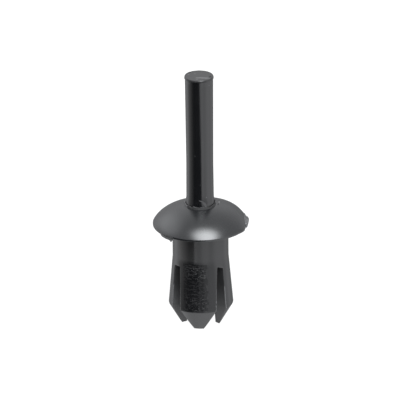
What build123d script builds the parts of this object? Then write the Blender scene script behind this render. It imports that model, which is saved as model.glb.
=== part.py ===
from build123d import *
from math import acos, cos, degrees, radians, sin, sqrt
import os

# A plastic push rivet of the drive-pin kind, in millimetres.
#
# One moulding makes the body: a domed head, a plain shank, and four legs that
# flare outwards to a barb and end in a cone. A second piece, the drive pin,
# stands in the mouth of the through bore and is pushed down until it is flush
# with the head, which locks the legs behind the panel.
#
# The origin is on the axis, in the plane where the head seats on the panel.
# +Z runs up through the head and the pin. The two wide legs lie along Y and
# the two narrow legs along X.

# ---- driving dimensions ------------------------------------------------------
# Head
head_diameter = 10.5
dome_half_width = 5.49       # the dome's section is part of an ellipse this wide
dome_half_height = 3.24
dome_centre = -0.73          # height of that ellipse's centre above the seat
rim_rounding = 0.10
head_root_rounding = 0.20    # under the head, where the shank begins

# Shank and legs
shank_diameter = 6.2         # goes through a 6.4 mm hole
flare_start = 3.65           # depth under the head where the legs begin to flare
barb_diameter = 7.16
barb_depth = 9.25
barb_rounding = 0.25
tip_diameter = 4.15
tip_depth = 11.75
tip_rounding = 0.12

# Slots between the legs, as fins on the mould's core leave them: narrow at the
# root, wider at the barb, and widest at the tips
slot_angle = 49.5            # from the middle of a wide leg to the slot
slot_root_depth = 4.24
slot_root_width = 0.94
slot_root_rounding = 0.12
wide_leg_gap_at_barb = 0.99      # slot's middle plane to the wide leg's wall
narrow_leg_gap_at_barb = 0.45    # slot's middle plane to the narrow leg's wall
wide_leg_gap_at_tip = 1.28
narrow_leg_gap_at_tip = 0.97

# Bore and mouth
bore_diameter = 3.2
mouth_diameter = 3.3         # the countersink clears the flash on the pin's top
mouth_depth = 0.5
film_ring_diameter = 3.62    # ring left standing by the film that held the pin
film_ring_edge = 3.42
film_ring_top = 2.70

# Drive pin
pin_top = 17.6
pin_bottom = 2.0             # just inside the mouth, where the film held it
pin_top_diameter = 3.11
pin_waist_diameter = 2.98
pin_waist = 7.5
pin_base_diameter = 3.04     # swells again towards the torn film
pin_base = 3.3
pin_lead_in = 0.30
flash_lip_diameter = 3.23    # thin flash round the top edge
flash_lip_height = 0.30

# Flash where the two mould halves met at the rim
rim_flash_reach = 0.10
rim_flash_radius = 3.0
rim_flash_angle = 10.0       # from +X towards +Y
rim_flash_thickness = 0.12

# Torn flake of flash that hangs under the rim, beside the front leg
flake_radius = 5.10
flake_thickness = 0.12
flake_angle = 40.0           # from -Y towards -X
flake_half_width = 0.92
flake_short_side = 0.32      # how far it hangs below the seat at each place
flake_step_top = 0.42
flake_long_side = 0.55
flake_step_start = 0.37      # where the deeper end begins, from the middle
flake_step_end = 0.64

# ---- worked out from them ----------------------------------------------------
head_radius = head_diameter / 2
shank_radius = shank_diameter / 2
bore_radius = bore_diameter / 2
crown_apex = dome_centre + dome_half_height


def dome_height(radius):
    """Height of the dome's surface above the seat, at a distance from the axis."""
    return dome_centre + dome_half_height * sqrt(1 - (radius / dome_half_width) ** 2)


def body_blank():
    """Head, shank, flare and cone, turned as one solid before bore and slots."""
    rim_top = (head_radius, dome_height(head_radius))
    rim_bottom = (head_radius, 0)
    head_root = (shank_radius, 0)
    barb = (barb_diameter / 2, -barb_depth)
    tip = (tip_diameter / 2, -tip_depth)
    rim_angle = degrees(acos(head_radius / dome_half_width))
    with BuildSketch(Plane.XZ) as section:
        with BuildLine():
            EllipticalCenterArc(
                (0, dome_centre),
                dome_half_width,
                dome_half_height,
                start_angle=rim_angle,
                arc_size=90 - rim_angle,
            )
            Polyline(
                rim_top,
                rim_bottom,
                head_root,
                (shank_radius, -flare_start),
                barb,
                tip,
                (0, -tip_depth),
                (0, crown_apex),
            )
        make_face()
        for corner, rounding in (
            (rim_top, rim_rounding),
            (rim_bottom, rim_rounding),
            (head_root, head_root_rounding),
            (barb, barb_rounding),
            (tip, tip_rounding),
        ):
            fillet(section.vertices().sort_by_distance(corner)[0], rounding)
    return revolve(section.sketch, Axis.Z)


def film_ring():
    """The low ring round the mouth that the torn film leaves on the head."""
    base = dome_height(film_ring_diameter / 2)
    height = film_ring_top - base
    return Pos(0, 0, base + height / 2) * Cone(
        film_ring_diameter / 2, film_ring_edge / 2, height
    )


def rim_flash():
    """Thin crescent of flash that stands out of the rim at the parting line."""
    centre = head_radius + rim_flash_reach - rim_flash_radius
    crescent = Pos(centre, 0, dome_height(head_radius) / 2) * Cylinder(
        rim_flash_radius, rim_flash_thickness
    )
    return Rot(0, 0, rim_flash_angle) * crescent


def rim_flake():
    """Thin curved flake of flash that hangs from the underside of the rim."""
    outline_points = (
        (-flake_half_width, rim_rounding),
        (-flake_half_width, -flake_short_side),
        (flake_step_start, -flake_step_top),
        (flake_step_end, -flake_long_side),
        (flake_half_width, -flake_long_side),
        (flake_half_width, rim_rounding),
    )
    with BuildSketch(Plane.XZ) as outline:
        with BuildLine():
            Polyline(*outline_points, close=True)
        make_face()
    slab = extrude(outline.sketch, head_radius)
    tube = Cylinder(flake_radius, 2) - Cylinder(flake_radius - flake_thickness, 2)
    return Rot(0, 0, -flake_angle) * (slab & tube)


def bore():
    """Straight through bore with a countersunk mouth, as one cutting tool."""
    below = -tip_depth - 1
    above = crown_apex + 1
    mouth_radius = mouth_diameter / 2
    mouth_start = film_ring_top - mouth_depth
    with BuildSketch(Plane.XZ) as section:
        with BuildLine():
            Polyline(
                (0, below),
                (bore_radius, below),
                (bore_radius, mouth_start - (mouth_radius - bore_radius)),
                (mouth_radius, mouth_start),
                (mouth_radius, above),
                (0, above),
                close=True,
            )
        make_face()
    return revolve(section.sketch, Axis.Z)


def slot():
    """Cutter for the slot between the wide leg on -Y and the narrow leg on +X."""
    angle = radians(slot_angle)
    outward = Vector(sin(angle), -cos(angle), 0)
    towards_narrow_leg = Vector(cos(angle), sin(angle), 0)
    half_root = slot_root_width / 2
    below = tip_depth + 0.5
    root_corners = [(-half_root, -slot_root_depth), (half_root, -slot_root_depth)]
    face = Plane(origin=(0, 0, 0), x_dir=towards_narrow_leg, z_dir=outward)
    with BuildSketch(face) as outline:
        with BuildLine():
            Polyline(
                *root_corners,
                (narrow_leg_gap_at_barb, -barb_depth),
                (narrow_leg_gap_at_tip, -tip_depth),
                (narrow_leg_gap_at_tip, -below),
                (-wide_leg_gap_at_tip, -below),
                (-wide_leg_gap_at_tip, -tip_depth),
                (-wide_leg_gap_at_barb, -barb_depth),
                close=True,
            )
        make_face()
        for corner in root_corners:
            fillet(outline.vertices().sort_by_distance(corner)[0], slot_root_rounding)
    return extrude(outline.sketch, barb_diameter)


def rivet_body():
    """The whole moulding: head, shank and four legs in one solid."""
    body = body_blank() + film_ring() + rim_flash() + rim_flake() - bore()
    front_right = slot()
    front_left = mirror(front_right, Plane.YZ)
    for cutter in (front_right, front_left):
        body -= cutter
        body -= mirror(cutter, Plane.XZ)
    return body


def drive_pin():
    """Headless pin, slightly waisted, with a lead-in below and flash on top."""
    lip_radius = flash_lip_diameter / 2
    base_radius = pin_base_diameter / 2
    with BuildSketch(Plane.XZ) as section:
        with BuildLine():
            Polyline(
                (0, pin_bottom),
                (base_radius - pin_lead_in / 2, pin_bottom),
                (base_radius, pin_bottom + pin_lead_in),
                (base_radius, pin_base),
                (pin_waist_diameter / 2, pin_waist),
                (pin_top_diameter / 2, pin_top - flash_lip_height),
                (lip_radius, pin_top - flash_lip_height / 2),
                (lip_radius, pin_top),
                (0, pin_top),
                close=True,
            )
        make_face()
    return revolve(section.sketch, Axis.Z)


os.makedirs("parts", exist_ok=True)
for name, solid in (("rivet_body", rivet_body()), ("drive_pin", drive_pin())):
    solid.label = name
    export_step(solid, f"parts/{name}.step")
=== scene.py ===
import math
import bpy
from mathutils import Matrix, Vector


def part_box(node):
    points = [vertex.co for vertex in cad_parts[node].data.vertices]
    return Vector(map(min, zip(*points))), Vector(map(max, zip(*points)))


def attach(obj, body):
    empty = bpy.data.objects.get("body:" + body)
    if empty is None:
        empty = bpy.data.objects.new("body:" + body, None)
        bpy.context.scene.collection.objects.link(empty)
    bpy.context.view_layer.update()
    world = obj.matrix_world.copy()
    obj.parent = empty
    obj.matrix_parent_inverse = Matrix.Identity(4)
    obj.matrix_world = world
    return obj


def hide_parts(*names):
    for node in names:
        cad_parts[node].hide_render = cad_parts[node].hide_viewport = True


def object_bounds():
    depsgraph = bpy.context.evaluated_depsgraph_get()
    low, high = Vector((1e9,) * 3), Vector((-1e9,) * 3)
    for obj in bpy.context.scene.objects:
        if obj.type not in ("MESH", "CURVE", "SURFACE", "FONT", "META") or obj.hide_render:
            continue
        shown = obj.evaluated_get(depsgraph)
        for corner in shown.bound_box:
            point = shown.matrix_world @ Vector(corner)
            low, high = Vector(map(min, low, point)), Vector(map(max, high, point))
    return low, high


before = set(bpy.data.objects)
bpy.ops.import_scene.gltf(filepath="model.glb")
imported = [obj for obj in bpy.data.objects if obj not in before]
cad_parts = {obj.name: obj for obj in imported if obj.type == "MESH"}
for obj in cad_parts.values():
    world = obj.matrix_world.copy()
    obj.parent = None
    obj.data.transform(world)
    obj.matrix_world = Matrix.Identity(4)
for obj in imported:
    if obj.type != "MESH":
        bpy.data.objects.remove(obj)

from types import SimpleNamespace

import bmesh
import bpy
from bpy.props import FloatProperty, FloatVectorProperty, IntProperty, PointerProperty
from mathutils import Matrix, Vector, noise

bl_info = {
    "name": "Plastic push rivet",
    "version": (1, 0, 0),
    "blender": (4, 5, 0),
    "location": "3D View > Sidebar > Rivet",
    "description": "Builds a drive-pin rivet with torn film, moulding flash and four barbed legs",
    "category": "Object",
}

CAD_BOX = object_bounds()
BODY_LOW, BODY_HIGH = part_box("rivet_body")
PIN_LOW, PIN_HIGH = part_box("drive_pin")
MM = 0.001
WELD = 1e-5           # millimetres within which two vertices become one
ARC_STEPS = 6         # steps of each rounded corner in a section


# ---- settings ----------------------------------------------------------------


def length(label, default, description):
    """A length setting, given here in millimetres and held in metres."""
    return FloatProperty(
        name=label, description=description, default=default * MM, precision=5, unit="LENGTH"
    )


def turn(label, default, description):
    """An angle setting, given here in degrees."""
    return FloatProperty(
        name=label, description=description, default=math.radians(default), subtype="ANGLE"
    )


def share(label, default, description, top=1.0):
    """A plain number from 0 up to a top value."""
    return FloatProperty(
        name=label, description=description, default=default, min=0.0, max=top
    )


def colour(label, default, description):
    """A colour setting."""
    return FloatVectorProperty(
        name=label, description=description, default=default, min=0.0, max=1.0,
        size=3, subtype="COLOR",
    )


class RivetBodySizes(bpy.types.PropertyGroup):
    """Sizes of the one-piece moulding"""

    head_radius: length("Head radius", 5.25, "Radius of the domed head at its rim")
    dome_half_width: length("Dome half width", 5.49, "Half width of the dome's ellipse")
    dome_half_height: length("Dome half height", 3.24, "Half height of the dome's ellipse")
    dome_drop: length("Dome drop", 0.73, "How far that ellipse's centre lies under the seat")
    rim_rounding: length("Rim rounding", 0.04, "Rounding of the rim's two edges")
    head_root_rounding: length("Head root rounding", 0.20, "Rounding where shank meets head")
    shank_radius: length("Shank radius", 3.10, "Radius of the plain shank")
    flare_start: length("Flare start", 3.65, "Depth where the legs begin to flare")
    barb_radius: length("Barb radius", 3.58, "Radius of the legs at the barb")
    barb_depth: length("Barb depth", 9.25, "Depth of the barb under the head")
    barb_rounding: length("Barb rounding", 0.12, "Rounding of the barb")
    tip_radius: length("Tip radius", 2.13, "Radius of the legs at their tips")
    tip_depth: length("Tip depth", 11.75, "Depth of the tips under the head")
    tip_rounding: length("Tip rounding", 0.02, "Rounding of the tips' outer edge")
    bore_radius: length("Bore radius", 1.60, "Radius of the bore that the pin runs in")
    mouth_radius: length("Mouth radius", 1.63, "Radius of the mouth, which torn film narrows")
    mouth_depth: length("Mouth depth", 0.50, "Depth of the wider mouth")
    slot_angle: turn("Slot angle", 49.5, "From the middle of a wide leg to a slot")
    slot_root_depth: length("Slot root depth", 4.24, "Depth where the slots begin")
    slot_root_half: length("Slot half width", 0.47, "Half width of a slot at its root")
    slot_root_rounding: length("Slot root rounding", 0.12, "Rounding of a slot's root")
    wide_gap_barb: length("Wide gap at barb", 0.99, "Slot's middle to wide leg, at the barb")
    wide_gap_tip: length("Wide gap at tip", 1.21, "Slot's middle to wide leg, at the tip")
    narrow_gap_barb: length("Narrow gap at barb", 0.45, "Slot's middle to narrow leg, at the barb")
    narrow_gap_tip: length("Narrow gap at tip", 0.97, "Slot's middle to narrow leg, at the tip")
    wide_fullness: length("Wide leg fullness", 0.11, "How much fuller the right of a wide leg is")
    wall_bend: length("Wall bend", 0.42, "How gradually the slot walls bend at the barb")
    leg_edge_rounding: length("Leg edge rounding", 0.08, "Rounding of the legs' long edges")
    slot_slope_right: length("Slot slope, right", 0.26, "Drop of the right slots' roofs")
    slot_slope_left: length("Slot slope, left", 0.10, "Drop of the left slots' roofs")
    collar_radius: length("Collar radius", 1.73, "Radius of the torn film's collar at its foot")
    collar_height: length("Collar height", 2.60, "Usual height of the collar's torn edge")
    dome_fullness: length("Dome fullness", 0.16, "Extra height of the dome's right shoulder")


class RivetPinSizes(bpy.types.PropertyGroup):
    """Sizes of the drive pin"""

    bottom: length("Bottom", 2.0, "Height of the pin's foot at rest")
    top: length("Top", 17.6, "Height of the pin's top at rest")
    base_radius: length("Base radius", 1.52, "Radius near the foot")
    waist_radius: length("Waist radius", 1.49, "Radius at the waist")
    waist: length("Waist", 7.5, "Height of the waist")
    top_radius: length("Top radius", 1.555, "Radius just under the top")
    lip_radius: length("Lip radius", 1.622, "Greatest reach of the flash round the top")
    lip_height: length("Lip height", 0.38, "Height of that flash")
    lead_in: length("Lead-in", 0.30, "Height of the bevel round the foot")
    film_radius: length("Film radius", 1.597, "Radius of the torn film left round the foot")
    film_start: length("Film start", 3.35, "Height where that film begins to flare")


class RivetFinish(bpy.types.PropertyGroup):
    """Colours and surface of the moulded plastic"""

    plastic: colour("Plastic", (0.0024, 0.0025, 0.0028), "Colour of the moulded plastic")
    head: colour("Head plastic", (0.0044, 0.0047, 0.0052), "Colour of the head's satin surface")
    core: colour("Core plastic", (0.0030, 0.0030, 0.0032), "Colour deep in the slots and bore")
    # Paler plastic: painted light low in the slots, on the legs' lower edges, the flake, the
    # collar's left and the pin's top; real wear on the gate scar and the front shred
    pale_wear_and_light: colour("Pale plastic, wear and painted light", (0.038, 0.038, 0.039), "Colour low in the slots")
    # The torn colour also paints a glint on the front leg's right edge
    torn: colour("Torn plastic and painted glint", (0.070, 0.071, 0.074), "Colour where the plastic is torn and pale")
    head_roughness: share("Head roughness", 0.245, "Roughness of the head")
    leg_roughness: share("Leg roughness", 0.16, "Roughness of the shank and legs")
    pin_roughness: share("Pin roughness", 0.19, "Roughness of the pin")
    core_roughness: share("Core roughness", 0.62, "Roughness of the slots and bore")
    grain_depth: share("Grain depth", 0.10, "Strength of the fine moulded grain")
    pit_depth: length("Pit depth", 0.026, "Depth of the pits on the front leg")


class RivetStage(bpy.types.PropertyGroup):
    """Camera, floor and lights"""

    azimuth: turn("Azimuth", 6.9, "Camera's direction round the rivet")
    elevation: turn("Elevation", 22.75, "Camera's height above the horizon")
    roll: turn("Roll", 0.55, "Lean of the picture")
    distance: length("Distance", 800, "Camera's distance from the rivet")
    frame_width: length("Frame width", 44.17, "Width of what the camera sees at the rivet")
    aim_right: length("Aim right", -0.039, "How far the view's middle lies right of the axis")
    aim_up: length("Aim up", 2.605, "How far the view's middle lies above the seat")
    surround: share("Surround", 1.25, "Brightness of the soft surround", 20)
    key_light: share("Key light", 12.3, "Brightness in the middle of the soft light in front", 50)
    side_light: share("Side light", 1.32, "Brightness of the soft light on the left", 50)
    floor_tone: share("Floor tone", 0.05, "Share of light that the floor throws back")
    floor_glow: share("Floor glow", 0.97, "Light that the floor gives, as a light table does", 20)
    card_glow: share("Card glow", 0.78, "Brightness of the shade card's near end", 20)
    segments: IntProperty(
        name="Segments", description="Steps round the rivet", default=216, min=72, max=288
    )


def in_millimetres(group):
    """A group's settings, with each length in millimetres, as the pieces are modelled."""
    values = {}
    for name in group.__annotations__:
        value = getattr(group, name)
        is_length = group.bl_rna.properties[name].unit == "LENGTH"
        values[name] = value / MM if is_length else value
    return SimpleNamespace(**values)


# ---- shapes shared by the pieces ---------------------------------------------


def clamped(value):
    """A value kept between 0 and 1."""
    return min(max(value, 0), 1)


def swell(offset, reach):
    """A hump that is 1 in its middle and falls to 0 at its reach."""
    return max(0, 1 - (offset / reach) ** 2)


def from_axis(point):
    """Distance of a point from the rivet's axis."""
    return math.hypot(point.x, point.y)


def heading(point):
    """Direction of a point from the axis, in degrees from +X."""
    return math.degrees(math.atan2(point.y, point.x))


def around(direction, radius, height):
    """A point at a direction in degrees from +X, a radius and a height."""
    angle = math.radians(direction)
    return Vector((radius * math.cos(angle), radius * math.sin(angle), height))


def widen(vert, factor):
    """Moves a vertex out from the axis by a factor, at its own height."""
    vert.co.x *= factor
    vert.co.y *= factor


def between(points, share_along):
    """The point a share of the way along a row of points, by equal steps."""
    steps = share_along * (len(points) - 1)
    first = int(min(steps, len(points) - 2))
    return Vector(points[first]).lerp(points[first + 1], steps - first)


def rounded(corners):
    """Points of a section whose corners, (radius, height, rounding), become arcs."""
    points = [Vector(corners[0][:2])]
    for before, corner, after in zip(corners, corners[1:], corners[2:]):
        at = Vector(corner[:2])
        back = (Vector(before[:2]) - at).normalized()
        ahead = (Vector(after[:2]) - at).normalized()
        half = back.angle(ahead) / 2
        middle = at + (back + ahead).normalized() * corner[2] / math.sin(half)
        reach = corner[2] / math.tan(half)
        start = at + back * reach - middle
        end = at + ahead * reach - middle
        for step in range(ARC_STEPS + 1):
            points.append(middle + start.slerp(end, step / ARC_STEPS) * corner[2])
    points.append(Vector(corners[-1][:2]))
    return points


def along(start, end, count):
    """Points between two section points, without the ends."""
    start, end = Vector(start), Vector(end)
    return [start.lerp(end, step / count) for step in range(1, count)]


def turned(points, steps, closed):
    """A surface turned about Z from a section's (radius, height) points."""
    bm = bmesh.new()
    verts = [bm.verts.new((point.x, 0, point.y)) for point in points]
    edges = [bm.edges.new(pair) for pair in zip(verts, verts[1:])]
    if closed:
        edges.append(bm.edges.new((verts[-1], verts[0])))
    bmesh.ops.spin(
        bm, geom=verts + edges, cent=(0, 0, 0), axis=(0, 0, 1), angle=math.tau,
        steps=steps, use_merge=True, use_duplicate=False,
    )
    bmesh.ops.remove_doubles(bm, verts=bm.verts, dist=WELD)
    return bm


def face_outward(bm):
    """Turns every face of a closed mesh outward."""
    bmesh.ops.recalc_face_normals(bm, faces=bm.faces)
    if bm.calc_volume(signed=True) < 0:
        bmesh.ops.reverse_faces(bm, faces=bm.faces)


def finish_piece(bm, name, materials, body, replaced=(), crisp=40):
    """Turns a mesh in millimetres into a finished object that rides on a body.

    Edges that bend by more than the crisp angle, in degrees, stay sharp.
    """
    bmesh.ops.remove_doubles(bm, verts=bm.verts, dist=WELD)
    face_outward(bm)
    bmesh.ops.scale(bm, vec=(MM, MM, MM), verts=bm.verts)
    mesh = bpy.data.meshes.new(name)
    for face in bm.faces:
        face.smooth = True
    for edge in bm.edges:
        edge.smooth = edge.is_boundary or edge.calc_face_angle(0) < math.radians(crisp)
    bm.to_mesh(mesh)
    bm.free()
    piece = bpy.data.objects.new(name, mesh)
    bpy.context.scene.collection.objects.link(piece)
    for material in materials:
        mesh.materials.append(material)
    shading = piece.modifiers.new("Even shading", "WEIGHTED_NORMAL")
    shading.keep_sharp = True
    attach(piece, body)
    if replaced:
        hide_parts(*replaced)
    return piece


# ---- the moulded body --------------------------------------------------------

# Columns of the turned blank, in degrees from the middle of a wide leg
WIDE_EDGE = 40.0      # becomes the wide leg's edge
NARROW_EDGE = 60.0    # becomes the narrow leg's edge
NARROW_MIDDLE = 90.0
SLOT_COLUMN = (WIDE_EDGE + NARROW_EDGE) / 2

# Depths and reaches, in millimetres and degrees
SETTLE_DEPTH = 3.0    # where the columns begin to move towards the slots' walls
ROOF_START = 3.3      # where a slot's roof begins to slope
ROOF_FADE = 1.6       # how far below the root the slope fades out
ROOF_REACH = 12.0     # how many degrees of the narrow leg slope with it

# Rows of the blank's section
ROOT_ANGLES = (0, 30, 50, 70, 90)                      # round the slots' roots
BORE_ROWS = (-4.1, -3.5, -2.5, -1.0, 0.5, 1.5)         # heights in the bore
MOUTH_BEVEL = 0.05    # height over which the bore widens to the mouth
LEG_ROWS = 14
DOME_ROWS = 33
SHANK_ROWS = 8
SHANK_TOP = 0.3       # depth of the first plain row under the head
CONE_ROWS = 9
FLARE_BLEND = 0.35    # depth below the flare's start of the first flared row


def from_wide_leg(point):
    """Angle in degrees from the nearer wide leg's middle, 0 to 90."""
    return math.degrees(math.atan2(abs(point.x), abs(point.y)))


def dome_height(radius, s):
    """Height of the dome at a distance from the axis."""
    return s.dome_half_height * math.sqrt(1 - (radius / s.dome_half_width) ** 2) - s.dome_drop


def wall_gap(depth, at_barb, at_tip, s):
    """Distance from a slot's middle plane to a leg's wall, at a depth."""
    above = (at_barb - s.slot_root_half) / (s.barb_depth - s.slot_root_depth)
    below = (at_tip - at_barb) / (s.tip_depth - s.barb_depth)
    past_barb = s.wall_bend * math.log1p(math.exp((depth - s.barb_depth) / s.wall_bend))
    gap = s.slot_root_half + above * (depth - s.slot_root_depth) + (below - above) * past_barb
    below_arc = s.slot_root_depth + s.slot_root_rounding - depth
    if below_arc > 0:
        rounding = s.slot_root_rounding
        gap -= rounding - math.sqrt(max(rounding ** 2 - below_arc ** 2, 0))
    return gap


def place_on_walls(vert, s):
    """Moves a vertex of the turned blank round, so its column follows the slot walls."""
    radius = from_axis(vert.co)
    base = from_wide_leg(vert.co)
    depth = max(-vert.co.z, s.slot_root_depth)
    slot = math.degrees(s.slot_angle)
    wide_gap = wall_gap(depth, s.wide_gap_barb, s.wide_gap_tip, s)
    if vert.co.x > 0:
        down_cone = max(0, (depth - s.barb_depth) / (s.tip_depth - s.barb_depth))
        wide_gap -= s.wide_fullness * (1 - down_cone)
    narrow_gap = wall_gap(depth, s.narrow_gap_barb, s.narrow_gap_tip, s)
    section = min(radius, s.shank_radius) if -vert.co.z < s.slot_root_depth else radius
    wide = slot - math.degrees(math.asin(min(wide_gap / section, 1)))
    narrow = slot + math.degrees(math.asin(min(narrow_gap / section, 1)))
    if wide < 0 and base <= WIDE_EDGE:
        radius = wide_gap / math.sin(s.slot_angle)
    wide = max(wide, 0)
    if base <= WIDE_EDGE:
        angle = base * wide / WIDE_EDGE
    elif base < NARROW_EDGE:
        part = (base - WIDE_EDGE) / (NARROW_EDGE - WIDE_EDGE)
        angle = wide + (narrow - wide) * part
    else:
        past = (NARROW_MIDDLE - narrow) * (base - NARROW_EDGE)
        angle = narrow + past / (NARROW_MIDDLE - NARROW_EDGE)
    settled = clamped((-vert.co.z - SETTLE_DEPTH) / (s.slot_root_depth - SETTLE_DEPTH))
    angle = math.radians(base + (angle - base) * settled)
    vert.co.z -= roof_drop(vert.co, base, s)
    vert.co.x = math.copysign(radius * math.sin(angle), vert.co.x)
    vert.co.y = math.copysign(radius * math.cos(angle), vert.co.y)


def roof_drop(place, base, s):
    """How far a slot's roof slopes down towards the narrow leg, at a blank's column."""
    slope = s.slot_slope_right if place.x > 0 else s.slot_slope_left
    if base < NARROW_EDGE:
        part = max(base - WIDE_EDGE, 0) / (NARROW_EDGE - WIDE_EDGE)
    else:
        part = max(1 - (base - NARROW_EDGE) / ROOF_REACH, 0)
    depth = -place.z
    root_end = s.slot_root_depth + s.slot_root_rounding
    if depth < s.slot_root_depth:
        fade = max((depth - ROOF_START) / (s.slot_root_depth - ROOF_START), 0)
    else:
        fade = clamped(1 - (depth - root_end) / ROOF_FADE)
    return slope * part * fade


def leg_depths(s):
    """Depths of the rows down the legs: close together round the slot's root."""
    root, rounding = s.slot_root_depth, s.slot_root_rounding
    arc = [root + rounding * (1 - math.cos(math.radians(angle))) for angle in ROOT_ANGLES]
    start, end = arc[-1], s.barb_depth - 2 * s.barb_rounding
    return arc + [start + (end - start) * row / LEG_ROWS for row in range(1, LEG_ROWS + 1)]


def collar_section(s):
    """The mouth's wall and the torn collar round it, from the inside out."""
    top, foot = s.collar_height, dome_height(s.collar_radius, s)
    start = (s.mouth_radius, top - s.mouth_depth)
    wall_end, bevel, inner_drop, outer_drop = top - 0.12, 0.015, 0.03, 0.035
    lean, skirt = 0.010, 0.06
    return [
        Vector(start),
        *along(start, (s.mouth_radius, wall_end), 4),
        Vector((s.mouth_radius, top - inner_drop)),
        Vector((s.mouth_radius + bevel, top)),
        Vector((s.collar_radius - bevel, top - outer_drop)),
        Vector((s.collar_radius - lean, foot + skirt)),
        Vector((s.collar_radius, foot)),
    ]


def dome_section(s):
    """The dome's rows, from just outside the collar almost to the rim."""
    ditch = 0.05
    start = math.asin((s.collar_radius + ditch) / s.dome_half_width)
    end = math.asin(s.head_radius / s.dome_half_width)
    rows = []
    for step in range(DOME_ROWS):
        angle = start + (end - start) * step / DOME_ROWS
        rows.append(Vector((
            s.dome_half_width * math.sin(angle),
            s.dome_half_height * math.cos(angle) - s.dome_drop,
        )))
    return rows


def body_section(s):
    """The blank's closed section: bore, mouth, collar, dome, rim, shank, barb and tip."""
    rise = (s.barb_radius - s.shank_radius) / (s.barb_depth - s.flare_start)
    dome = dome_section(s)
    head = rounded([
        (*dome[-1], 0),
        (s.head_radius, dome_height(s.head_radius, s), s.rim_rounding),
        (s.head_radius, 0, s.rim_rounding),
        (s.shank_radius, 0, s.head_root_rounding),
        (s.shank_radius, -s.flare_start, 0),
    ])
    top = (s.shank_radius, -SHANK_TOP)
    shank = along(top, (s.shank_radius, -s.flare_start), SHANK_ROWS)
    flare = [Vector((s.shank_radius + rise * FLARE_BLEND, -(s.flare_start + FLARE_BLEND)))]
    legs = [
        Vector((s.shank_radius + rise * (depth - s.flare_start), -depth))
        for depth in leg_depths(s)
    ]
    ends = rounded([
        (*legs[-1], 0),
        (s.barb_radius, -s.barb_depth, s.barb_rounding),
        (s.tip_radius, -s.tip_depth, s.tip_rounding),
        (s.bore_radius, -s.tip_depth, 0),
    ])
    cone_end = ARC_STEPS + 2                # first point of the tips' rounding
    ends[cone_end:cone_end] = along(ends[cone_end - 1], ends[cone_end], CONE_ROWS)
    legs += ends[1:-1]
    heights = [point.y for point in reversed(legs)] + list(BORE_ROWS)
    heights.append(s.collar_height - s.mouth_depth - MOUTH_BEVEL)
    bore = [Vector((s.bore_radius, height)) for height in heights]
    return bore + collar_section(s) + dome + head[1:-1] + shank + [head[-1]] + flare + legs


def cut_slots(bm, s):
    """Opens the four slots and returns the edges of the legs that are to be rounded."""
    near, tip_width, bore_margin = 1e-4, 0.05, 1e-3
    opened = []
    for face in bm.faces:
        middle = face.calc_center_median()
        if middle.z < -s.slot_root_depth and WIDE_EDGE < from_wide_leg(middle) < NARROW_EDGE:
            opened.append(face)
    bmesh.ops.delete(bm, geom=opened, context="FACES")
    chains = {}
    for edge in bm.edges:
        if not edge.is_boundary:
            continue
        ends = [vert.co for vert in edge.verts]
        radii = [from_axis(end) for end in ends]
        middle = (ends[0] + ends[1]) / 2
        is_under_tip = all(abs(end.z + s.tip_depth) < near for end in ends)
        if is_under_tip and abs(radii[0] - radii[1]) > tip_width:
            continue
        corner = (middle.x > 0, middle.y > 0)
        is_roof = all(abs(end.z + s.slot_root_depth) < near for end in ends)
        side = "roof" if is_roof else from_wide_leg(middle) > SLOT_COLUMN
        is_outside = max(radii) > s.bore_radius + bore_margin
        chains.setdefault((corner, side), {True: [], False: []})[is_outside].append(edge)
    rounding = []
    for pair in chains.values():
        if len(pair[True]) != len(pair[False]):
            raise RuntimeError(f"a slot wall has {len(pair[True])} and {len(pair[False])} edges")
        walls = bmesh.ops.bridge_loops(bm, edges=pair[True] + pair[False])["faces"]
        for face in walls:
            face.material_index = MATT
        rounding += pair[True]
    return rounding


SHOULDER_MIDDLE = 38.0      # direction of the dome's fuller shoulder, from +X
SHOULDER_REACH = 60.0

RIM_FLAWS = (         # direction, half width, and how far the rim stands out or in
    (-20.0, 8.0, 0.085),
    (-12.0, 2.5, -0.10),
)

TONGUES = (           # torn tongues of film: direction, half width, extra height
    (8, 9, 0.26),
    (24, 7, 0.14),
    (-173, 9, 0.14),
    (-158, 5, 0.06),
    (-108, 8, 0.08),
    (-80, 5, 0.06),
    (-63, 8, 0.10),
    (70, 12, 0.20),
    (140, 9, 0.12),
)


def fill_shoulder(bm, s):
    """Raises the dome a little at the right and behind, where the moulding is fuller."""
    underside, collar_foot = 0.4, 0.1
    for vert in bm.verts:
        radius = from_axis(vert.co)
        if vert.co.z < underside or radius < s.collar_radius + collar_foot:
            continue
        away = math.remainder(heading(vert.co) - SHOULDER_MIDDLE, 360)
        outwards = clamped((radius - s.collar_radius) / (s.head_radius - s.collar_radius))
        hump = math.sin(math.pi * outwards ** 2)
        vert.co.z += s.dome_fullness * swell(away, SHOULDER_REACH) ** 2 * hump


def flaw_rim(bm, s):
    """Swells the rim beside the gate scar and takes a small chip out of it."""
    rim_width, rim_bottom, rim_top = 0.25, -0.01, 0.35
    for vert in bm.verts:
        radius = from_axis(vert.co)
        if radius < s.head_radius - rim_width or not rim_bottom < vert.co.z < rim_top:
            continue
        direction = heading(vert.co)
        reach = 0.0
        for middle, half_width, change in RIM_FLAWS:
            reach += change * swell(direction - middle, half_width)
        widen(vert, 1 + reach / radius)


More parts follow.
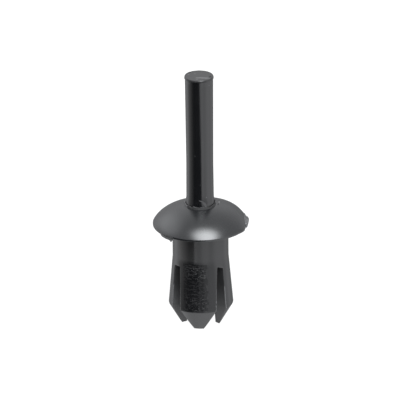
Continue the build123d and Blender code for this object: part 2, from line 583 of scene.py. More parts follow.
def tear_collar(bm, s):
    """Makes the collar's edge ragged, as the film left it when it tore."""
    foot = dome_height(s.collar_radius, s)
    waves, ripples, bulge = 0.10, 0.05, 0.015
    for vert in bm.verts:
        radius = from_axis(vert.co)
        share_up = (vert.co.z - foot) / (s.collar_height - foot)
        if share_up <= 0 or radius > s.collar_radius or radius < s.mouth_radius - 0.01:
            continue
        direction = math.atan2(vert.co.y, vert.co.x)
        spot = Vector((math.cos(direction), math.sin(direction), 0.3)) * 5.2
        lift = waves * noise.noise(spot) + ripples * noise.noise(spot * 2.7)
        for middle, half_width, height in TONGUES:
            away = math.degrees(math.remainder(direction - math.radians(middle), math.tau))
            lift += height * swell(away, half_width)
        vert.co.z += lift * share_up
        grown = radius + bulge * noise.noise(spot * 1.9) * share_up
        widen(vert, max(grown, s.mouth_radius) / radius)


def strip(count, rows, place, thickness):
    """A thin curved strip: place(across, down) gives each point, both from 0 to 1."""
    bm = bmesh.new()
    bmesh.ops.create_grid(bm, x_segments=count, y_segments=rows, size=0.5)
    for vert in bm.verts:
        vert.co = place(vert.co.x + 0.5, vert.co.y + 0.5)
    bmesh.ops.recalc_face_normals(bm, faces=bm.faces)
    bmesh.ops.solidify(bm, geom=bm.faces[:], thickness=thickness)
    return bm


# ---- materials ---------------------------------------------------------------

# The torn slot also paints a glint on the front leg's right edge; the rubbed slot is real wear on
# the scar and a shred, and painted light elsewhere
BLACK, SATIN, MATT, TORN_AND_GLINT, PALE_WEAR_AND_LIGHT, PITTED = range(6)      # slots of the body's materials

PATCH_SIDES = (       # the pitted patch: axis, from, to, and half width of its soft edge
    ("X", -1.50, 1.25, 0.35),
    ("Y", -9.0, -2.4, 0.10),
    ("Z", -9.05, -3.80, 0.08),
)
PATCH_LEVELS = (      # place from the patch's foot to its top, and how pitted it is there
    (0.0, 0.75),
    (0.2, 0.62),
    (0.36, 0.28),
    (0.66, 0.28),
    (0.78, 0.65),
    (1.0, 0.55),
)
PIT_PATTERNS = (      # fineness along each axis, and where a hollow starts and is deepest
    ((2600, 2600, 2600), 0.56, 0.68),
    ((1500, 1500, 5500), 0.58, 0.68),
    ((6000, 6000, 6000), 0.60, 0.72),
)


def set_inputs(tree, node, inputs):
    """Gives each input of a node its value, or links it from a socket."""
    for name, value in inputs.items():
        if isinstance(value, bpy.types.NodeSocket):
            tree.links.new(value, node.inputs[name])
        else:
            node.inputs[name].default_value = value


def add_node(tree, kind, inputs, **settings):
    """Adds a shader node with its settings and its inputs."""
    node = tree.nodes.new("ShaderNode" + kind)
    for name, value in settings.items():
        setattr(node, name, value)
    set_inputs(tree, node, inputs)
    return node


def combined(tree, operation, *values):
    """One operation on a row of values, each of which is a number or a socket."""
    total = values[0]
    for value in values[1:]:
        total = add_node(tree, "Math", {0: total, 1: value}, operation=operation).outputs[0]
    return total


def ranged(tree, value, low, high, at_low=0.0, at_high=1.0, curve="LINEAR"):
    """A value that goes from one level to another while a second one crosses a range."""
    return add_node(tree, "MapRange", {
        "Value": value, "From Min": low, "From Max": high, "To Min": at_low, "To Max": at_high,
    }, interpolation_type=curve).outputs["Result"]


def measured(tree, operation, first, second, result="Value"):
    """The result of an operation on two vectors."""
    return add_node(
        tree, "VectorMath", {0: first, 1: second}, operation=operation
    ).outputs[result]


def new_group(name, numbers, results):
    """A node group that reads a position and some numbers, with its entry and exit."""
    group = bpy.data.node_groups.new(name, "ShaderNodeTree")
    sockets = group.interface
    sockets.new_socket("Position", in_out="INPUT", socket_type="NodeSocketVector")
    for label in numbers:
        sockets.new_socket(label, in_out="INPUT", socket_type="NodeSocketFloat")
    for label in results:
        sockets.new_socket(label, in_out="OUTPUT", socket_type="NodeSocketFloat")
    entry, leave = group.nodes.new("NodeGroupInput"), group.nodes.new("NodeGroupOutput")
    return group, entry.outputs, leave


def grain_group(name):
    """Fine moulded grain with slow unevenness: puts out a height and a mask."""
    group, entry, leave = new_group(name, ["Fineness"], ["Height", "Unevenness"])
    place = entry["Position"]
    grain = add_node(
        group, "TexNoise", {"Vector": place, "Scale": entry["Fineness"], "Detail": 3.0}
    ).outputs["Fac"]
    slow = add_node(
        group, "TexNoise", {"Vector": place, "Scale": 420.0, "Detail": 2.0}
    ).outputs["Fac"]
    height = add_node(group, "Math", {0: grain, 1: 0.35, 2: slow}, operation="MULTIPLY_ADD")
    set_inputs(group, leave, {"Height": height.outputs[0], "Unevenness": slow})
    return group


def speck_group(name):
    """Scattered pale specks, where the plastic is nicked: puts out a mask."""
    group, entry, leave = new_group(name, ["Fineness", "Rarity"], ["Mask"])
    pattern = add_node(group, "TexNoise", {
        "Vector": entry["Position"], "Scale": entry["Fineness"], "Detail": 2.0,
    })
    above = combined(group, "SUBTRACT", pattern.outputs["Fac"], entry["Rarity"])
    steep = add_node(group, "Math", {0: above, 1: 12.0}, operation="MULTIPLY", use_clamp=True)
    set_inputs(group, leave, {"Mask": steep.outputs[0]})
    return group


def pitted_group(name):
    """A worn mould's pits and short scores: puts out where the plastic is hollow."""
    group, entry, leave = new_group(name, [], ["Hollow"])
    hollows = []
    for fineness, start, deepest in PIT_PATTERNS:
        place = measured(group, "MULTIPLY", entry["Position"], fineness, "Vector")
        pattern = add_node(group, "TexNoise", {
            "Vector": place, "Scale": 1.0, "Detail": 1.5, "Distortion": 0.5,
        }).outputs["Fac"]
        hollows.append(ranged(group, pattern, start, deepest, curve="SMOOTHSTEP"))
    set_inputs(group, leave, {"Hollow": combined(group, "MAXIMUM", *hollows)})
    return group


GROUP_BUILDERS = {
    "Moulded grain": grain_group,
    "Pale specks": speck_group,
    "Pits and scores": pitted_group,
}


def placed_group(tree, name, position, **values):
    """Places a node group, built the first time, in a material with its own values."""
    group = bpy.data.node_groups.get(name) or GROUP_BUILDERS[name](name)
    return add_node(tree, "Group", {"Position": position, **values}, node_tree=group).outputs


def plastic(name, finish, base, roughness, rarity, fineness=5200.0, shine=0.5, kind=""):
    """Moulded plastic with grain, uneven gloss and pale specks.

    The kind "core side" turns paler down the slots as painted light, and "pitted" has the worn
    patch.
    """
    material = bpy.data.materials.new(name)
    material.use_nodes = True
    tree = material.node_tree
    place = add_node(tree, "TexCoord", {}).outputs["Object"]
    grain = placed_group(tree, "Moulded grain", place, Fineness=9000.0)
    specks = placed_group(tree, "Pale specks", place, Fineness=fineness, Rarity=rarity)
    plain = (*base, 1)
    if kind == "core side":
        # painted light: the slot walls grow paler towards their open lower end
        plain = painted_light_below(tree, place, base, finish.pale_wear_and_light)
    tint = add_node(
        tree, "Mix", {"A": plain, "B": (*finish.torn, 1), "Factor": specks["Mask"]},
        data_type="RGBA",
    )
    normal = add_node(tree, "Bump", {
        "Strength": finish.grain_depth, "Distance": 0.02 * MM, "Height": grain["Height"],
    }).outputs["Normal"]
    if kind == "pitted":
        hollow = placed_group(tree, "Pits and scores", place)["Hollow"]
        worn = combined(tree, "MULTIPLY", patch_mask(tree, place), patch_level(tree, place), hollow)
        normal = add_node(tree, "Bump", {
            "Distance": -finish.pit_depth, "Height": worn, "Normal": normal,
        }).outputs["Normal"]
    set_inputs(tree, tree.nodes["Principled BSDF"], {
        "IOR": 1.5,
        "Specular IOR Level": shine,
        "Base Color": tint.outputs["Result"],
        "Roughness": ranged(tree, grain["Unevenness"], 0.3, 0.7, roughness - 0.03, roughness + 0.04),
        "Normal": normal,
    })
    return material


def height_of(tree, place):
    """The height of a place on a piece."""
    return add_node(tree, "SeparateXYZ", {0: place}).outputs["Z"]


def painted_light_below(tree, place, upper, lower):
    """A colour that turns paler down the slots: painted light, where more light reaches the lower
    walls.
    """
    down = ranged(
        tree, height_of(tree, place), -6.2 * MM, -9.0 * MM, at_high=0.42, curve="SMOOTHSTEP"
    )
    return add_node(
        tree, "Mix", {"A": (*upper, 1), "B": (*lower, 1), "Factor": down}, data_type="RGBA"
    ).outputs["Result"]


def patch_level(tree, place):
    """How pitted the patch is at each height: most at its foot, least half way up."""
    levels = add_node(tree, "ValToRGB", {
        "Fac": ranged(tree, height_of(tree, place), -9.1 * MM, -3.8 * MM),
    })
    stops = levels.color_ramp.elements
    for position, level in PATCH_LEVELS[1:-1]:
        stops.new(position)
    for stop, (position, level) in zip(stops, PATCH_LEVELS):
        stop.color = (level, level, level, 1)
    return levels.outputs["Color"]


def patch_mask(tree, place):
    """Mask of the rough patch on the outside of the front leg."""
    axes = add_node(tree, "SeparateXYZ", {0: place}).outputs
    sides = []
    for axis, low, high, soft in PATCH_SIDES:
        sides.append(ranged(tree, axes[axis], (low - soft) * MM, (low + soft) * MM))
        sides.append(ranged(tree, axes[axis], (high + soft) * MM, (high - soft) * MM))
    return combined(tree, "MULTIPLY", *sides)


def body_materials(finish):
    """The moulding's six materials in the order of its slots, made once."""
    names = (
        "Black nylon", "Satin nylon", "Matt nylon", "Torn nylon and painted glint", "Pale nylon, wear and painted light", "Pitted nylon",
    )
    if names[BLACK] not in bpy.data.materials:
        base, head = finish.plastic, finish.head
        plastic(names[BLACK], finish, base, finish.leg_roughness, 0.80, shine=0.45)
        plastic(names[SATIN], finish, head, finish.head_roughness, 0.80)
        plastic(names[MATT], finish, finish.core, finish.core_roughness, 0.84, kind="core side")
        # also the painted glint on the front leg's right edge
        plastic(names[TORN_AND_GLINT], finish, head, 0.36, 0.46, 3800.0)
        # real wear on the scar and a shred, painted light on edges, flake, collar and pin top
        plastic(names[PALE_WEAR_AND_LIGHT], finish, finish.pale_wear_and_light, 0.25, 0.70, 4200.0)
        plastic(names[PITTED], finish, base, finish.leg_roughness, 0.80, shine=0.27, kind="pitted")
    return [bpy.data.materials[name] for name in names]


# ---- operators ---------------------------------------------------------------

WALL_WELD = 1e-4      # millimetres within which two vertices of a slot's wall are one
# Painted glints on the legs' rounded edges start at these depths
EDGE_GLINT_FROM = 6.8     # depth below which the legs' long edges are paler
FRONT_EDGE_GLINT_FROM = 7.9       # depth below which the front leg's right edge gets pale specks, a painted glint
MOUTH_BOTTOM = 1.9    # height up to which the bore has the core's matt surface
# Painted light: the collar's lit left side is given paler plastic
COLLAR_LIT_SIDE = -1.3  # the collar is paler to the left of this
PATCH_LEFT, PATCH_RIGHT, PATCH_BACK = -1.52, 1.12, -2.4     # faces in the pitted patch
PATCH_FOOT, PATCH_TOP = -9.05, -3.80


class RIVET_OT_body(bpy.types.Operator):
    """Builds the one-piece moulding: domed head, shank and four barbed legs"""

    bl_idname = "rivet.build_body"
    bl_label = "Build body"

    def execute(self, context):
        s = in_millimetres(context.scene.rivet_body)
        bm = turned(body_section(s), context.scene.rivet_stage.segments, closed=True)
        rounding = cut_slots(bm, s)
        for vert in bm.verts:
            place_on_walls(vert, s)
        bmesh.ops.remove_doubles(bm, verts=bm.verts, dist=WALL_WELD)
        edges = bmesh.ops.bevel(
            bm, geom=[edge for edge in rounding if edge.is_valid], affect="EDGES",
            offset=s.leg_edge_rounding, offset_type="OFFSET", segments=3, profile=0.5,
            material=-1, clamp_overlap=False,
        )["faces"]
        fill_shoulder(bm, s)
        flaw_rim(bm, s)
        tear_collar(bm, s)
        for face in bm.faces:
            self.choose_material(face, s)
        # painted glints: the legs' lower rounded edges get paler plastic
        for face in edges:
            if face.is_valid and -s.barb_depth < face.calc_center_median().z < -EDGE_GLINT_FROM:
                self.paint_edge_glint(face)
        finish_piece(
            bm, "body_moulding", body_materials(context.scene.rivet_finish),
            "body", ["rivet_body"],
        )
        return {"FINISHED"}

    def paint_edge_glint(self, face):
        """Makes a leg's rounded edge paler as a painted glint, most of all the front leg's right
        edge.
        """
        middle = face.calc_center_median()
        face.material_index = PALE_WEAR_AND_LIGHT
        is_front_right = middle.x > 0 > middle.y and from_wide_leg(middle) < SLOT_COLUMN
        if is_front_right and middle.z < -FRONT_EDGE_GLINT_FROM:
            for edge in face.edges:
                for beside in edge.link_faces:
                    if beside.material_index != MATT:
                        beside.material_index = TORN_AND_GLINT

    def choose_material(self, face, s):
        """Satin on the head, matt on the torn collar and where the mould's core was."""
        middle = face.calc_center_median()
        radius = from_axis(middle)
        is_core_side = radius < s.bore_radius + 0.01 and middle.z < MOUTH_BOTTOM
        is_collar = radius < s.collar_radius and middle.z > dome_height(s.collar_radius, s)
        # painted light: the collar's left side, where the side light falls, is paler
        if is_collar and middle.x < COLLAR_LIT_SIDE:
            face.material_index = PALE_WEAR_AND_LIGHT
        elif is_core_side or is_collar:
            face.material_index = MATT
        elif middle.z > 0:
            face.material_index = SATIN
        elif face.material_index == BLACK and self.is_pitted(middle):
            face.material_index = PITTED

    def is_pitted(self, middle):
        """Whether a place is in the worn patch on the outside of the front leg."""
        ragged = 0.3 * noise.noise(middle * 2.5)
        is_across = PATCH_LEFT < middle.x + ragged < PATCH_RIGHT
        return is_across and middle.y < PATCH_BACK and PATCH_FOOT < middle.z < PATCH_TOP


FLAKE_EDGE = (        # direction from -Y towards -X, and how far the flake hangs there
    (51.0, 0.00),
    (49.9, 0.14),
    (48.2, 0.21),
    (43.6, 0.26),
    (39.5, 0.28),
    (34.4, 0.29),
    (33.3, 0.33),
    (32.7, 0.42),
    (31.8, 0.49),
    (31.0, 0.38),
    (29.4, 0.18),
    (27.6, 0.00),
)

SCAR_SECTION = (      # radius and height, from under the rim up onto the dome
    (5.13, 0.00),
    (5.22, 0.01),
    (5.25, 0.07),
    (5.25, 0.20),
    (5.17, 0.36),
    (5.03, 0.58),
    (4.88, 0.76),
    (4.72, 0.93),
)
SCAR_START = -12.0    # direction of the gate scar's first end, from +X
SCAR_SWEEP = 44.0
FIRST_END_LEAN = -12.0      # how the first end's torn part leans, in degrees for each mm up
SCAR_MIDDLE = 10.0
SCAR_REACH = 20.0     # degrees from the middle to where the scar's upper edge has dropped
SCAR_EDGE = 4.75      # radius of its upper edge in the middle,
SCAR_EDGE_DROP = 0.45       # and how much further out that edge is at its reach
STUB = (9.0, 12.0, 0.28, 0.22)    # gate's stub: direction, reach, height, reach
FLAKE_TOP = 0.19      # height at which the flake grows out of the rim
FLAKE_TAPER = 0.12    # where it hangs less than this, it starts lower


def scar_point(across, up):
    """A place on the broken gate scar, both from 0 to 1: rough, with the gate's stub."""
    direction = SCAR_START + SCAR_SWEEP * across
    radius, height = between(SCAR_SECTION, up)
    spot = Vector((across * 15, up * 6, 0.7))
    ragged = 0.5 + 0.8 * noise.noise(spot) + 0.5 * noise.noise(spot * 2.3)
    drop = (abs(direction - SCAR_MIDDLE) / SCAR_REACH) ** 2
    edge_radius = SCAR_EDGE + SCAR_EDGE_DROP * drop + 0.05 * noise.noise(spot)
    inside = min(max((radius - edge_radius) / 0.06, 0), up / 0.08, 1)
    stub = swell(direction - STUB[0], STUB[1]) * swell(height - STUB[2], STUB[3])
    lift = (0.02 + 0.08 * max(ragged, 0) + 0.10 * stub) * inside - 0.03 * (1 - inside)
    return around(direction, radius + lift, height + 0.6 * lift)


class RIVET_OT_flash(bpy.types.Operator):
    """Adds the rim's broken gate scar and the flake of flash that hangs under it"""

    bl_idname = "rivet.build_flash"
    bl_label = "Build flash"

    def execute(self, context):
        s = in_millimetres(context.scene.rivet_body)
        materials = body_materials(context.scene.rivet_finish)
        scar = strip(44, 16, scar_point, 0.04)
        furthest = BODY_HIGH.x / MM - 0.004
        for vert in scar.verts:
            vert.co.x = min(vert.co.x, furthest)
        for face in scar.faces:
            middle = face.calc_center_median()
            is_speck = middle.z > 0.30 and noise.noise(middle * 4.5) > 0.16
            is_first_end = heading(middle) < FIRST_END_LEAN * middle.z
            if is_speck or is_first_end:
                face.material_index = 1
        finish_piece(
            scar, "gate_scar", [materials[PALE_WEAR_AND_LIGHT], materials[TORN_AND_GLINT]], "body", crisp=10
        )

        def flake_point(across, down):
            direction, hang = between(FLAKE_EDGE, across)
            hang += 0.03 * noise.noise(Vector((across * 9, 5.2, 0.1))) * min(hang / 0.1, 1)
            top = FLAKE_TOP * min(hang / FLAKE_TAPER, 1)
            radius = s.head_radius + 0.008 - 0.05 * down
            return around(-90 - direction, radius, top - (top + hang) * down)

        flake = strip(36, 7, flake_point, 0.07)
        # painted light: the flake's paler plastic makes it as light as the dome beside it
        finish_piece(flake, "rim_flake", [materials[PALE_WEAR_AND_LIGHT]], "body")
        return {"FINISHED"}


SHREDS = (            # name, path of (direction, radius, height), width, twist, material
    (
        "film_shred_front",
        ((-59, 1.65, 2.68), (-66, 1.63, 3.00), (-75, 1.61, 3.28), (-88, 1.60, 3.42)),
        0.13, 0.3, PALE_WEAR_AND_LIGHT,
    ),
    (
        "film_shred_left",
        ((-168, 1.70, 2.46), (-171, 1.74, 2.64), (-174, 1.78, 2.80)),
        0.12, 0, TORN_AND_GLINT,
    ),
    (
        "film_shred_right",
        ((14, 2.06, 2.26), (19, 2.10, 2.46), (24, 2.16, 2.52), (29, 2.26, 2.36)),
        0.16, 0, SATIN,
    ),
)


def shred(path, width, twist):
    """A pointed sliver of film along a path, its left edge standing out by the twist."""
    points = [around(*point) for point in path]

    def place(across, along_path):
        centre = between(points, along_path)
        ahead = between(points, min(along_path + 0.05, 1))
        behind = between(points, max(along_path - 0.05, 0))
        outward = Vector((centre.x, centre.y, 0)).normalized()
        side = (ahead - behind).cross(outward).normalized()
        half = width * (0.25 + 0.75 * math.sin(math.pi * min(along_path + 0.12, 1)))
        curl = 0.02 * noise.noise(centre * 6)
        shift = (across - 0.5) * 2
        return centre + side * half * shift + outward * (curl + twist * half * shift)

    return strip(4, 10, place, 0.03)


class RIVET_OT_film(bpy.types.Operator):
    """Adds the loose shreds of film that stand round the mouth"""

    bl_idname = "rivet.build_film"
    bl_label = "Build film shreds"

    def execute(self, context):
        materials = body_materials(context.scene.rivet_finish)
        for name, path, width, twist, kind in SHREDS:
            finish_piece(shred(path, width, twist), name, [materials[kind]], "body")
        return {"FINISHED"}


FILM_ROWS = (         # height, how much narrower than the film at the foot, and steps up to it
    (2.80, 0.0, 3),
    (2.94, 0.015, 1),
    (3.10, 0.040, 1),
)
NECK_ROWS = (         # depth under the pin's top, and how much wider than the pin there
    (0.26, 0.008),
    (0.29, 0.028),
)
LIP_ROWS = (          # depth under the pin's top, and how much narrower than the lip
    (0.25, 0.0),
    (0.15, 0.012),
    (0.06, 0.034),
    (0.02, 0.052),
    (0.004, 0.09),
)
FILM_WEAR = 0.07      # how much of the film's reach is gone where it is torn most
LIP_WEAR = 0.025
# The paler streak on the top is a painted highlight
STREAK_MIDDLE, STREAK_REACH = (0.50, -0.58), (0.85, 0.17)      # paler streak on the top
TOP_BEND = 0.12       # depth under the top down to which faces can be in the streak
TOP_FLAT = 0.015      # depth under the top down to which it is dented
NICK_MIDDLE, NICK_REACH, NICK_DEPTH = (-8, 1.30), (0.16, 0.34), 0.11


def pin_section(p):
    """The pin's section, from the middle of its foot to the middle of its top."""
    stops = [             # each point, and the number of steps up to it
        ((0, p.bottom), 0),
        ((p.base_radius - p.lead_in / 2, p.bottom), 4),
        ((p.film_radius, p.bottom + p.lead_in), 1),
        *(((p.film_radius - inward, height), steps) for height, inward, steps in FILM_ROWS),
        ((p.base_radius, p.film_start), 1),
        ((p.waist_radius, p.waist), 8),
        ((p.top_radius, p.top - p.lip_height), 18),
        *(((p.top_radius + outward, p.top - depth), 1) for depth, outward in NECK_ROWS),
        *(((p.lip_radius - inward, p.top - depth), 1) for depth, inward in LIP_ROWS),
        ((0, p.top), 18),
    ]
    points = [Vector(stops[0][0])]
    for (before, _), (point, steps) in zip(stops, stops[1:]):
        points += [*along(before, point, steps), Vector(point)]
    return points


class RIVET_OT_pin(bpy.types.Operator):
    """Builds the drive pin with its waist, lead-in and ragged top edge"""

    bl_idname = "rivet.build_pin"
    bl_label = "Build pin"

    def execute(self, context):
        p = in_millimetres(context.scene.rivet_pin)
        finish = context.scene.rivet_finish
        bm = turned(pin_section(p), context.scene.rivet_stage.segments, closed=False)
        for vert in bm.verts:
            self.wear(vert, p)
        for face in bm.faces:
            self.paint_top_highlight(face, p)
        glossy = plastic(
            "Black nylon pin", finish, finish.plastic, finish.pin_roughness, 0.72, 2600.0
        )
        # paler plastic for the top's painted highlight
        streak = body_materials(finish)[PALE_WEAR_AND_LIGHT]
        finish_piece(bm, "pin_moulding", [glossy, streak], "pin", ["drive_pin"])
        return {"FINISHED"}

    def paint_top_highlight(self, face, p):
        """Gives the sheared top its paler streak, a painted highlight."""
        middle = face.calc_center_median()
        if middle.z < p.top - TOP_BEND:
            return
        ragged = 0.5 * noise.noise(Vector((middle.x * 4, middle.y * 7, 2.2)))
        across = (middle.x - STREAK_MIDDLE[0]) / STREAK_REACH[0]
        along_view = (middle.y - STREAK_MIDDLE[1]) / STREAK_REACH[1]
        if across ** 2 + along_view ** 2 < 1 + ragged:
            face.material_index = 1

    def wear(self, vert, p):
        """Tears the film and the lip unevenly, and dents the sheared top."""
        radius = from_axis(vert.co)
        if radius < 1e-4:
            vert.co.z -= 0.02
            return
        compass = Vector((vert.co.x, vert.co.y, 0)).normalized()
        if vert.co.z < p.film_start and radius > p.base_radius:
            spot = compass * 4.1 + Vector((0, 0, vert.co.z * 1.5))
            self.tear(vert, radius, p.base_radius, noise.noise(spot), FILM_WEAR)
        if vert.co.z < p.top - p.lip_height:
            return
        if radius > p.top_radius:
            self.tear(vert, radius, p.top_radius, noise.noise(compass * 2.6), LIP_WEAR)
        if vert.co.z > p.top - TOP_FLAT:
            vert.co.z -= self.dent(vert.co.x, vert.co.y, radius, p)

    def tear(self, vert, radius, plain_radius, unevenness, worn_share):
        """Takes away some of what stands out from the pin at a vertex."""
        kept = 1 - worn_share * (0.5 - 0.5 * unevenness)
        widen(vert, (plain_radius + (radius - plain_radius) * kept) / radius)

    def dent(self, x, y, radius, p):
        """How far the sheared top lies under its highest level at a place."""
        hollow = 0.02 + 0.03 * (radius / p.top_radius) ** 4
        uneven = 0.018 * noise.noise(Vector((x * 1.3, y * 0.8, 7.3)))
        nick = around(*NICK_MIDDLE, 0)
        across, along_view = (x - nick.x) / NICK_REACH[0], (y - nick.y) / NICK_REACH[1]
        return hollow + uneven + NICK_DEPTH * max(0, 1 - across ** 2 - along_view ** 2)


LIGHT_TINT = (0.95, 0.975, 1.0)
LIGHT_POWER = 4       # watts for each square metre of a light with a brightness of 1


def area_light(name, direction, elevation, distance, wide, high, radiance, edge):
    """A softbox that faces the rivet and fades from its middle; angles in degrees."""
    light = bpy.data.lights.new(name, "AREA")
    light.shape = "RECTANGLE"
    light.size, light.size_y = wide, high
    light.energy = radiance * wide * high * LIGHT_POWER
    light.color = LIGHT_TINT
    light.use_nodes = True
    tree = light.node_tree
    place = add_node(tree, "NewGeometry", {}).outputs["Parametric"]
    from_middle = measured(tree, "DISTANCE", place, (0.5, 0.5, 0))
    set_inputs(tree, tree.nodes["Emission"], {
        "Strength": ranged(tree, from_middle, 0.12, 0.55, 1.0, edge, "SMOOTHSTEP"),
    })
    rig = bpy.data.objects.new(name, light)
    bpy.context.scene.collection.objects.link(rig)
    away = sight(direction, elevation)
    rig.location = away * distance
    rig.rotation_mode = "QUATERNION"
    rig.rotation_quaternion = away.to_track_quat("Z", "Y")


def sight(azimuth, elevation):
    """Unit vector from the rivet: azimuth 0 is -Y and 90 is +X, in degrees."""
    a, e = math.radians(azimuth), math.radians(elevation)
    return Vector((math.sin(a) * math.cos(e), -math.cos(a) * math.cos(e), math.sin(e)))


SURROUND_LOBES = (    # azimuth from the camera, elevation, inner and outer reach, change
    (30, -24, 30, 80, 0.90),
    (16, -4, 6, 24, -0.62),
    (-5, -7, 9, 22, -1.25),
    (42, -4, 8, 26, -0.70),
    (95, 10, 30, 80, -0.15),
    (-140, 20, 15, 60, 0.12),
    (-95, -60, 15, 50, 0.25),
    (180, -22.75, 20, 58, -0.88),
)


def soft_surround(stage):
    """A pale surround whose brightness drifts: soft lobes on an even level."""
    world = bpy.data.worlds.new("Soft surround")
    world.use_nodes = True
    tree = world.node_tree
    place = add_node(tree, "TexCoord", {}).outputs["Generated"]
    levels = [stage.surround]
    for azimuth, elevation, inner, outer, change in SURROUND_LOBES:
        towards = sight(azimuth + math.degrees(stage.azimuth), elevation)
        facing = measured(tree, "DOT_PRODUCT", place, towards)
        start, full = math.cos(math.radians(outer)), math.cos(math.radians(inner))
        levels.append(ranged(tree, facing, start, full, 0.0, change, "SMOOTHSTEP"))
    set_inputs(tree, tree.nodes["Background"], {
        "Strength": combined(tree, "ADD", *levels),
        "Color": (0.965, 0.975, 1.0, 1),
    })
    bpy.context.scene.world = world


def stage_piece(bm, name, tone, glow):
    """A piece of the stage with a plain material."""
    mesh = bpy.data.meshes.new(name)
    bm.to_mesh(mesh)
    bm.free()
    piece = bpy.data.objects.new(name, mesh)
    bpy.context.scene.collection.objects.link(piece)
    material = bpy.data.materials.new(name)
    material.use_nodes = True
    tree = material.node_tree
    set_inputs(tree, tree.nodes["Principled BSDF"], {
        "Base Color": (tone, tone, tone, 1),
        "Roughness": 1.0,
        "Specular IOR Level": 0.0,
        "Emission Color": (1, 1, 1, 1),
        "Emission Strength": glow,
    })
    mesh.materials.append(material)
    return piece


def soften_card(tree, glow, dark_from, pale_side):
    """Lets the shade card grow paler towards its near end and towards one side."""
    place = add_node(tree, "TexCoord", {}).outputs["Object"]
    away = add_node(tree, "VectorMath", {0: place}, operation="LENGTH").outputs["Value"]
    near = ranged(tree, away, dark_from[0] * MM, dark_from[1] * MM, glow, 0.0)
    flat = measured(tree, "MULTIPLY", place, (1, 1, 0), "Vector")
    level = add_node(tree, "VectorMath", {0: flat}, operation="NORMALIZE").outputs["Vector"]
    facing = measured(tree, "DOT_PRODUCT", level, sight(pale_side, 0))
    side = ranged(tree, facing, -0.03, 0.75)
    set_inputs(tree, tree.nodes["Principled BSDF"], {
        "Emission Strength": combined(tree, "ADD", near, side),
    })


SHADE_CARDS = (       # name, depth, where it turns dark, corners as direction and distance
    (
        "shade_card_low", 30.0, (71, 79),
        ((-100, 50), (-26, 60), (-26, 75), (-8, 80), (-8, 1500), (-100, 1500)),
    ),
    (
        "shade_card_high", 2.0, (1, 2),
        ((-100, 11.5), (14, 11.5), (12, 20), (13, 27), (10, 34), (3, 44), (0, 400), (-100, 400)),
    ),
)
PALE_SIDE = -140      # direction from the camera in which both cards grow paler
FLOOR_REACH = 4.0
SENSOR_WIDTH = 36.0


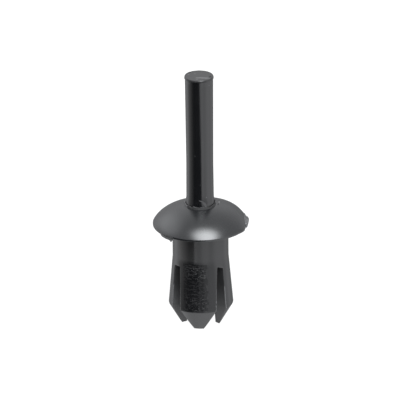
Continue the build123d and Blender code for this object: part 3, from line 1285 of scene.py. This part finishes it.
class RIVET_OT_stage(bpy.types.Operator):
    """Sets the pale floor, the soft lights and the camera"""

    bl_idname = "rivet.build_stage"
    bl_label = "Build stage"

    def execute(self, context):
        stage = context.scene.rivet_stage
        facing = math.degrees(stage.azimuth)
        self.floor(stage)
        for name, depth, dark_from, corners in SHADE_CARDS:
            self.shade_card(stage, name, depth, dark_from, corners)
        soft_surround(stage)
        area_light(
            "key_light", facing + 17, 47, distance=1.6, wide=1.85, high=2.5,
            radiance=stage.key_light, edge=0.02,
        )
        area_light(
            "side_light", facing - 110, 39, distance=1.6, wide=2.5, high=1.7,
            radiance=stage.side_light, edge=0.1,
        )
        self.camera(context, stage)
        context.scene.view_settings.view_transform = "Standard"
        return {"FINISHED"}

    def floor(self, stage):
        """A pale floor level with the legs' tips, which glossy plastic doesn't mirror."""
        bm = bmesh.new()
        bmesh.ops.create_grid(bm, x_segments=1, y_segments=1, size=FLOOR_REACH)
        bmesh.ops.translate(bm, vec=(0, 0, CAD_BOX[0].z), verts=bm.verts)
        floor = stage_piece(bm, "floor", stage.floor_tone, stage.floor_glow)
        floor.visible_glossy = False

    def shade_card(self, stage, name, depth, dark_from, corners):
        """A dark card that only shows as a mirror image in the glossy plastic."""
        facing = math.degrees(stage.azimuth)
        bm = bmesh.new()
        bm.faces.new([
            bm.verts.new(sight(facing + azimuth, 0) * away * MM) for azimuth, away in corners
        ])
        bmesh.ops.translate(bm, vec=(0, 0, -depth * MM), verts=bm.verts)
        card = stage_piece(bm, name, 0.0, 0.0)
        card.visible_camera = card.visible_diffuse = card.visible_shadow = False
        tree = card.data.materials[0].node_tree
        soften_card(tree, stage.card_glow, dark_from, facing + PALE_SIDE)

    def camera(self, context, stage):
        """A long lens at the rivet's front, a little to the right and above."""
        back = sight(math.degrees(stage.azimuth), math.degrees(stage.elevation))
        right = Vector((math.cos(stage.azimuth), math.sin(stage.azimuth), 0))
        up = back.cross(right)
        lean, straight = math.sin(stage.roll), math.cos(stage.roll)
        across = right * straight - up * lean
        upward = right * lean + up * straight
        lens = bpy.data.cameras.new("camera")
        lens.sensor_width = SENSOR_WIDTH
        lens.lens = SENSOR_WIDTH * stage.distance / stage.frame_width
        lens.clip_start, lens.clip_end = 0.05, 20.0
        camera = bpy.data.objects.new("camera", lens)
        context.scene.collection.objects.link(camera)
        place = back * stage.distance + across * stage.aim_right + upward * stage.aim_up
        camera.matrix_world = Matrix((
            (across.x, upward.x, back.x, place.x),
            (across.y, upward.y, back.y, place.y),
            (across.z, upward.z, back.z, place.z),
            (0, 0, 0, 1),
        ))
        context.scene.camera = camera


class RIVET_PT_panel(bpy.types.Panel):
    """Lists the rivet's operators and settings"""

    bl_idname = "RIVET_PT_panel"
    bl_label = "Push rivet"
    bl_space_type = "VIEW_3D"
    bl_region_type = "UI"
    bl_category = "Rivet"

    def draw(self, context):
        for operator in OPERATORS:
            self.layout.operator(operator.bl_idname)
        for name in GROUPS:
            group = getattr(context.scene, name)
            box = self.layout.box()
            for setting in group.__annotations__:
                box.prop(group, setting)


OPERATORS = (RIVET_OT_body, RIVET_OT_flash, RIVET_OT_film, RIVET_OT_pin, RIVET_OT_stage)
GROUPS = {
    "rivet_body": RivetBodySizes,
    "rivet_pin": RivetPinSizes,
    "rivet_finish": RivetFinish,
    "rivet_stage": RivetStage,
}


def register():
    """Makes the settings, operators and panel known to Blender."""
    for item in (*GROUPS.values(), *OPERATORS, RIVET_PT_panel):
        bpy.utils.register_class(item)
    for name, group in GROUPS.items():
        setattr(bpy.types.Scene, name, PointerProperty(type=group))


def unregister():
    """Takes them out again."""
    for name in GROUPS:
        delattr(bpy.types.Scene, name)
    for item in (RIVET_PT_panel, *reversed(OPERATORS), *reversed(GROUPS.values())):
        bpy.utils.unregister_class(item)


def main():
    """Builds the rivet and its stage."""
    register()
    bpy.ops.rivet.build_body()
    bpy.ops.rivet.build_flash()
    bpy.ops.rivet.build_film()
    bpy.ops.rivet.build_pin()
    bpy.ops.rivet.build_stage()


if __name__ == "__main__":
    main()
